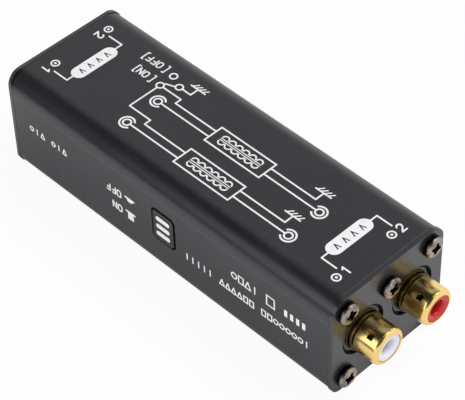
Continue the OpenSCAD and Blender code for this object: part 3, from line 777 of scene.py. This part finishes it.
def pan_head_screw(radius, height, shank):
    """One screw with its head's seat at x = 0 and the shank going back: domed head, cross recess, thread."""
    side, rounding = height * 0.42, 0.5 * MM
    head = [(0.0, radius - 0.1 * MM), (0.08 * MM, radius), (side, radius)]
    for k in range(1, 7):
        a = math.pi / 2 * k / 6
        head.append((side + (height * 0.9 - side) * math.sin(a), radius - rounding * (1 - math.cos(a))))
    head += [(height * along, radius * out) for along, out in ((0.95, 0.62), (0.985, 0.4), (1, 0.2), (1, 0))]
    crest, root, pitch = 1.45 * MM, 1.2 * MM, 0.5 * MM
    thread = [(0.0, crest)]
    x = -0.9 * MM
    while x > -shank + 0.8 * MM:
        thread += [(x, crest), (x - 0.2 * MM, root), (x - 0.25 * MM, root)]
        x -= pitch
    thread += [(-shank + 0.5 * MM, 1.3 * MM), (-shank, 1.0 * MM), (-shank, 0.0)]
    solid = mesh_from(lathe_x(thread[::-1] + head, steps=40, closed=False))
    floor = height - 1.0 * MM
    cutters = []
    for turn in (0, math.pi / 2):
        turned = Matrix.Rotation(turn, 3, "X")
        cutters.append(hull([turned @ Vector((x, a, b)) for x, half, wide in
                             ((floor, 0.75 * MM, 0.24 * MM), (height + 0.3 * MM, 1.62 * MM, 0.46 * MM))
                             for a, b in ((half, wide), (half, -wide), (-half, wide), (-half, -wide))]))
    above = height + 0.2 * MM
    cutters.append(mesh_from(lathe_x([(floor, 0.0), (floor, 0.5 * MM), (above, 1.05 * MM), (above, 0.0)],
                                     steps=20, closed=False)))
    screw = cut_away(solid, cutters)
    # the cross recess is marked for painted shade
    mark_recess(screw, lambda x, y, z: math.hypot(y, z) < 1.65 * MM and 0.1 * MM < x < height - 0.16 * MM)
    return screw


class ISOLATOR_OT_screws(bpy.types.Operator):
    """Ten pan head screws, five at each end, turned at random"""
    bl_idname = "isolator.screws"
    bl_label = "Screws"

    def execute(self, context):
        sizes = context.scene.isolator_sizes
        high, low = middle(SCREW_HIGH, 2), middle(SCREW_LOW, 2)
        corner_screw = pan_head_screw(sizes.head_radius, sizes.head_height, 8.0 * MM)
        corners = through_tree(corner_screw, "set_at_both_ends", "screw_nickel", Columns=2, Rows=2,
                               Across=2 * abs(middle(SCREW_HIGH, 1)), Rise=high - low, Reach=PLATE_X,
                               Height=(high + low) / 2, Turn=1.5, Seed=4)
        middle_screw = pan_head_screw(sizes.head_radius, sizes.head_height, 7.0 * MM)
        fixing = through_tree(middle_screw, "set_at_both_ends", "screw_nickel", Columns=1, Rows=1, Across=0.0,
                              Rise=0.0, Reach=PLATE_X, Height=middle(FIX_SCREW, 2), Turn=1.5, Seed=9)
        names = [f"screw_{end}_{i}" for end in ("in", "out") for i in (1, 2, 3, 4)]
        finished_piece("plate_screws", joined([corners, fixing]), "screw_nickel", "case",
                       names + ["fix_screw_in", "fix_screw_out"], smooth=40)
        return {"FINISHED"}


def barrel_shape():
    """One gold barrel: flange, neck groove, body with a rounded mouth, punched window, solder leg."""
    outer = [(-7.65, 3.56), (-7.65, 4.1), (-7.6, 4.15), (-0.75, 4.15), (-0.7, 4.2), (-0.7, 4.33),
             (-0.64, 4.38), (0.7, 4.4), (0.77, 4.38), (0.8, 4.33), (0.64, 3.98), (0.68, 3.9), (1.06, 3.9),
             (1.12, 3.96), (1.14, 4.07), (1.22, 4.15), (2.2, 4.15), (3.6, 4.15), (5.0, 4.15)]
    mouth = [(5.9 + math.sin(math.radians(t)), 3.15 + math.cos(math.radians(t))) for t in range(0, 91, 9)]
    inner = [(6.86, 3.1), (6.6, 3.1), (6.36, 3.1), (6.33, 3.2), (6.33, 3.56)]
    solid = mesh_from(lathe_x(in_mm(outer + mouth + inner), steps=96))
    window = hull([((WINDOW_X + x * half) * MM, y * half * MM, z * MM) for x in (1, -1) for y in (1, -1)
                   for z, half in ((3.72, 0.44), (3.98, 0.46), (4.4, 0.8))])
    window.transform(Matrix.Rotation(math.radians(WINDOW_TURN), 4, "X"))
    shell = cut_away(solid, [window])
    # the punched window is marked for painted shade
    mark_recess(shell, lambda x, y, z: abs(x - WINDOW_X * MM) < 0.65 * MM
                and 3.6 * MM < math.hypot(y, z) < 3.97 * MM)
    back, drop = -7.8 * MM, SOCKET_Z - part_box("board")[0][2] + 1.2 * MM
    leg = hull([(back + dx * MM, dy * MM, z) for dx in (0.1, 0.6) for dy in (-1.0, 1.0)
                for z in (-3.3 * MM, -drop + 1.2 * MM)])
    tip = hull([(back + dx * MM, dy * MM, z) for dx in (0.15, 0.55) for dy, z in
                ((-0.8, -drop + 1.3 * MM), (0.8, -drop + 1.3 * MM), (-0.5, -drop), (0.5, -drop))])
    return joined([shell, leg, tip])


class ISOLATOR_OT_barrels(bpy.types.Operator):
    """Four gold plated phono barrels with a flange, a dark groove, a punched window and a rounded mouth"""
    bl_idname = "isolator.barrels"
    bl_label = "Barrels"

    def execute(self, context):
        sizes = context.scene.isolator_sizes
        result = through_tree(barrel_shape(), "set_at_both_ends", "gold", Columns=2, Rows=1,
                              Across=sizes.socket_spacing, Rise=0.0, Reach=PLATE_X,
                              Height=sizes.socket_height)
        names = [f"barrel_{end}_{i}" for end in ("in", "out") for i in (1, 2)]
        finished_piece("gold_barrels", result, "gold", "case", names, smooth=32)
        return {"FINISHED"}


def insert_shape():
    """One plastic insert: domed ring with a funnel down to the pin hole."""
    profile = [(-7.3, 0.6), (-7.3, 3.25), (-7.2, 3.35), (6.3, 3.35), (6.33, 3.3), (6.33, 3.09), (6.62, 3.08),
               (6.72, 3.02), (6.76, 2.9), (6.76, 2.7), (6.74, 2.45), (6.68, 2.15), (6.56, 1.95), (6.36, 1.8),
               (6.05, 1.72), (5.6, 1.7), (0.4, 1.7), (0.4, 2.05), (-5.1, 2.05), (-5.1, 0.6)]
    return mesh_from(lathe_x(in_mm(profile), steps=72))


class ISOLATOR_OT_inserts(bpy.types.Operator):
    """Red and white plastic inserts of the sockets, and their sprung centre contacts"""
    bl_idname = "isolator.inserts"
    bl_label = "Inserts and contacts"

    def execute(self, context):
        sizes = context.scene.isolator_sizes
        for name, finish, side, number in (("white_inserts", "insert_white", -1, 1),
                                           ("red_inserts", "insert_red", 1, 2)):
            offset = side * sizes.socket_spacing / 2
            pair = through_tree(insert_shape(), "set_at_both_ends", finish, Columns=1, Rows=1, Across=0.0,
                                Rise=0.0, Reach=PLATE_X, Side=offset, Height=sizes.socket_height)
            # the tree turns the far end round, so its insert goes back to its own side
            for vertex in pair.vertices:
                if vertex.co.x < 0:
                    vertex.co.y += 2 * offset
            finished_piece(name, pair, finish, "case", [f"insert_in_{number}", f"insert_out_{number}"],
                           smooth=32)
            for end in ("in", "out"):
                dress_node(f"contact_{end}_{number}", "contact_metal")
        return {"FINISHED"}


class ISOLATOR_OT_socket_blocks(bpy.types.Operator):
    """Black plastic blocks whose round bosses fill the plates' holes"""
    bl_idname = "isolator.socket_blocks"
    bl_label = "Socket blocks"

    def execute(self, context):
        # the moulded bosses draw in towards the front and end a little behind the plate's face
        setback, draw, boss_edge = 0.28 * MM, 0.968, 4.8 * MM
        for end, outwards in (("in", 1), ("out", -1)):
            bm = welded_copy(f"socket_block_{end}")
            face = outwards * max(outwards * corner[0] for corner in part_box(f"socket_block_{end}"))
            front = face - outwards * setback
            for vertex in bm.verts:
                if abs(vertex.co.x - face) < 0.01 * MM:
                    side = math.copysign(SOCKET_Y, vertex.co.y)
                    off = Vector((vertex.co.y - side, vertex.co.z - SOCKET_Z))
                    if off.length > boss_edge:
                        vertex.co.y, vertex.co.z = side + off.x * draw, SOCKET_Z + off.y * draw
                    vertex.co.x = front
            round_edges(bm, context.scene.isolator_sizes.block_edge,
                        lambda point, edge: all_near(edge.verts, 0, front))
            finished_piece(f"socket_carrier_{end}", mesh_from(bm), "block_plastic", "case",
                           [f"socket_block_{end}"])
        return {"FINISHED"}


class ISOLATOR_OT_button(bpy.types.Operator):
    """Push button with a raised, rounded face, its stem and its three bars"""
    bl_idname = "isolator.button"
    bl_label = "Push button"

    def execute(self, context):
        bm = welded_copy("button")
        front, raised, widening = BUTTON[0][1], 0.25 * MM, 0.15 * MM
        for vertex in bm.verts:
            # the raised face reaches a little further towards the window's edge
            if vertex.co.y < front + raised:
                vertex.co.x += math.copysign(widening, vertex.co.x - middle(BUTTON, 0))
                vertex.co.z += math.copysign(widening, vertex.co.z - middle(BUTTON, 2))
        round_edges(bm, 0.16 * MM, lambda point, edge: point.y < front + 0.5 * MM, least=20, segments=3)
        cap = mesh_from(bm)
        # the step behind the raised face is marked for painted shade
        mark_recess(cap, lambda x, y, z: y > front + 0.12 * MM)
        finished_piece("push_cap", cap, "button_plastic", "push_button", ["button"])
        dress_node("stem", "switch_plastic")
        dress_node("button_marks", "side_ink")
        return {"FINISHED"}


class ISOLATOR_OT_print(bpy.types.Operator):
    """White print on the roof and the side"""
    bl_idname = "isolator.print"
    bl_label = "Print"

    def execute(self, context):
        dress_node("top_print", "ink_white")
        dress_node("side_print", "side_ink")
        return {"FINISHED"}


def sliced(name, axis, count, share, finish):
    """A CAD node's shape as a row of thin slices along an axis: each slice fills a share of its pitch."""
    low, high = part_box(name)
    pitch = (high[axis] - low[axis]) / count
    bm = welded_copy(name)
    for vertex in bm.verts:
        vertex.co[axis] = (vertex.co[axis] - low[axis]) * share / count
    start, step = [0.0] * 3, [0.0] * 3
    start[axis], step[axis] = low[axis] + pitch * (1 - share) / 2, pitch
    return through_tree(mesh_from(bm), "repeat_in_a_row", finish, Count=count, Start=start, Step=step)


class ISOLATOR_OT_inner_parts(bpy.types.Operator):
    """Board, transformers with stacked cores and taped turns, and switch inside the case"""
    bl_idname = "isolator.inner_parts"
    bl_label = "Inner parts"

    def execute(self, context):
        for name, finish in (("board", "board_laminate"), ("switch_body", "switch_plastic"),
                             ("switch_pins", "pin_metal")):
            dress_node(name, finish)
        sizes = context.scene.isolator_sizes
        for i in (1, 2):
            for node_name, name, axis, count, share, finish in (
                    ("core", "stacked_core", 2, sizes.core_plates, 0.86, "core_steel"),
                    ("winding", "taped_turns", 0, sizes.tape_turns, 0.9, "winding_wire")):
                finished_piece(f"{name}_{i}", sliced(f"{node_name}_{i}", axis, count, share, finish), finish,
                               "case", [f"{node_name}_{i}"])

            dress_node(f"bobbin_{i}", "bobbin_plastic")
            dress_node(f"coil_pins_{i}", "pin_metal")
        return {"FINISHED"}


def area_lamp(name, place, target, size, power):
    """A soft lamp that looks at a target."""
    data = bpy.data.lights.new(name, "AREA")
    data.shape, data.size, data.size_y = "RECTANGLE", size[0], size[1]
    data.energy = power
    lamp = new_object(name, data)
    lamp.location = place
    lamp.rotation_euler = (Vector(target) - Vector(place)).to_track_quat("-Z", "Y").to_euler()


def card(name, corners, glow=0.0):
    """A card that only reflections see, black or softly lit, as photographers stand beside shiny things."""
    bm = bmesh.new()
    bm.faces.new([bm.verts.new(corner) for corner in corners])
    made = new_object(name, mesh_from(bm, name))
    made.data.materials.append(new_material(name + "_cloth", Base_Color=(0.01, 0.01, 0.01, 1), Roughness=0.9,
                                            Emission_Color=(1, 1, 1, 1), Emission_Strength=glow)[0])
    made.visible_camera = made.visible_shadow = made.visible_diffuse = False


def pale_floor(colour):
    """A floor that the camera sees nearly white and that keeps the object's shadow."""
    bm = bmesh.new()
    bmesh.ops.create_grid(bm, x_segments=2, y_segments=2, size=2.0)
    floor = new_object("floor", mesh_from(bm, "floor"))
    material, tree, inputs = new_material("pale_floor", Base_Color=(*colour, 1), Roughness=0.6)
    mottle = node(tree, "ShaderNodeTexNoise", {"Vector": object_coordinates(tree)}, Scale=40.0, Detail=3.0)
    rough = maths(tree, "ADD", 0.55, maths(tree, "MULTIPLY", mottle.outputs[0], 0.1))
    tree.links.new(rough, inputs["Roughness"])
    rays = tree.nodes.new("ShaderNodeLightPath").outputs
    seen = maths(tree, "MAXIMUM", rays["Is Camera Ray"], rays["Is Transmission Ray"])
    glow = node(tree, "ShaderNodeEmission", Color=(1, 1, 1, 1), Strength=1.0)
    share = maths(tree, "MAXIMUM", maths(tree, "MULTIPLY", seen, 0.93),
                  maths(tree, "MULTIPLY", rays["Is Glossy Ray"], 0.15))
    mix = node(tree, "ShaderNodeMixShader", {"Fac": share, 1: tree.nodes["Principled BSDF"].outputs[0],
                                             2: glow.outputs[0]})
    tree.links.new(mix.outputs[0], tree.nodes["Material Output"].inputs["Surface"])
    floor.data.materials.append(material)


def white_room(scene):
    """A world that is white to the camera and in reflections, and lights the object at a lower level."""
    scene.world = bpy.data.worlds.new("white_room")
    scene.world.use_nodes = True
    tree = scene.world.node_tree
    rays = tree.nodes.new("ShaderNodeLightPath").outputs
    seen = maths(tree, "MAXIMUM", rays["Is Camera Ray"],
                 maths(tree, "MAXIMUM", rays["Is Glossy Ray"], rays["Is Transmission Ray"]))
    back = tree.nodes["Background"].inputs
    tree.links.new(maths(tree, "ADD", 0.45, maths(tree, "MULTIPLY", seen, 0.55)), back["Strength"])
    back["Color"].default_value = (1, 1, 1, 1)


class ISOLATOR_OT_stage(bpy.types.Operator):
    """Floor, white surroundings, soft lamps, cards for the reflections and the camera"""
    bl_idname = "isolator.stage"
    bl_label = "Stage"

    def execute(self, context):
        scene = context.scene
        pale_floor(scene.isolator_colours.floor)
        white_room(scene)
        centre = (0.0, 0.0, 0.012)
        area_lamp("key", (0.3, 0.5, 0.85), centre, (0.45, 0.45), 5.5)
        area_lamp("fill", (0.55, -0.75, 0.55), centre, (0.6, 0.6), 3.0)
        area_lamp("low_box", (-0.02, -0.33, 0.15), (0, 0, 0.02), (0.2, 0.24), 0.16)
        # low_card and floor_card: a black strip on the floor beside the object, seen only in reflections, as
        # painted shade of the floor
        for name, x, z in (("side_card", (-0.9, -0.15), (0.0, 0.5)), ("low_card", (-0.15, 0.0), (0.0, 0.03)),
                           ("upper_card", (-0.15, 0.12), (0.31, 0.5))):
            card(name, [(x[a], -0.25, z[b]) for a, b in CARD_CORNERS])
        for name, x, y, z, glow in (("roof_card", (-0.8, 0.12), (-0.3, 0.1), 0.5, 0.0),
                                    ("end_card", (-0.14, 0.4), (0.1, 0.7), 0.5, 0.0),
                                    ("scrim", (-0.9, -0.14), (0.1, 0.8), 0.5, 0.5),
                                    ("floor_card", (-0.3, 0.05), (-0.25, -0.08), 0.002, 0.0)):
            card(name, [(x[a], y[b], z) for a, b in CARD_CORNERS], glow)
        # behind the camera and square to its view: the middle, then half the width and half the height
        centre, across, up = map(Vector, ((0.278, -0.257, 0.399), (0.23, 0.25, 0), (-0.18, 0.167, 0.234)))
        card("camera_card", [centre + across * (2 * a - 1) + up * (2 * b - 1) for a, b in CARD_CORNERS])

        data = bpy.data.cameras.new("photo_camera")
        data.sensor_width, data.lens = 36.0, CAMERA_LENS
        data.clip_start, data.clip_end = 0.01, 20.0
        scene.camera = new_object("photo_camera", data)
        scene.camera.location, scene.camera.rotation_euler = CAMERA_PLACE, CAMERA_TURN
        scene.view_settings.view_transform = "Standard"
        return {"FINISHED"}


class ISOLATOR_PT_panel(bpy.types.Panel):
    """Lists the pieces of the isolator and their sizes"""
    bl_label = "Isolator"
    bl_idname = "ISOLATOR_PT_panel"
    bl_space_type = "VIEW_3D"
    bl_region_type = "UI"
    bl_category = "Isolator"

    def draw(self, context):
        for group in (context.scene.isolator_sizes, context.scene.isolator_colours):
            for key in group.__annotations__:
                self.layout.prop(group, key)
        for operator in OPERATORS:
            self.layout.operator(operator.bl_idname)


OPERATORS = (ISOLATOR_OT_finishes, ISOLATOR_OT_case, ISOLATOR_OT_end_plates, ISOLATOR_OT_screws,
             ISOLATOR_OT_barrels, ISOLATOR_OT_inserts, ISOLATOR_OT_socket_blocks, ISOLATOR_OT_button,
             ISOLATOR_OT_print, ISOLATOR_OT_inner_parts, ISOLATOR_OT_stage)
CLASSES = (IsolatorSizes, IsolatorColours, *OPERATORS, ISOLATOR_PT_panel)


def register():
    for item in CLASSES:
        bpy.utils.register_class(item)
    bpy.types.Scene.isolator_sizes = PointerProperty(type=IsolatorSizes)
    bpy.types.Scene.isolator_colours = PointerProperty(type=IsolatorColours)


def unregister():
    del bpy.types.Scene.isolator_colours
    del bpy.types.Scene.isolator_sizes
    for item in reversed(CLASSES):
        bpy.utils.unregister_class(item)


def main():
    """Makes every piece and the stage."""
    register()
    for operator in OPERATORS:
        family, name = operator.bl_idname.split(".")
        getattr(getattr(bpy.ops, family), name)()


if __name__ == "__main__":
    main()
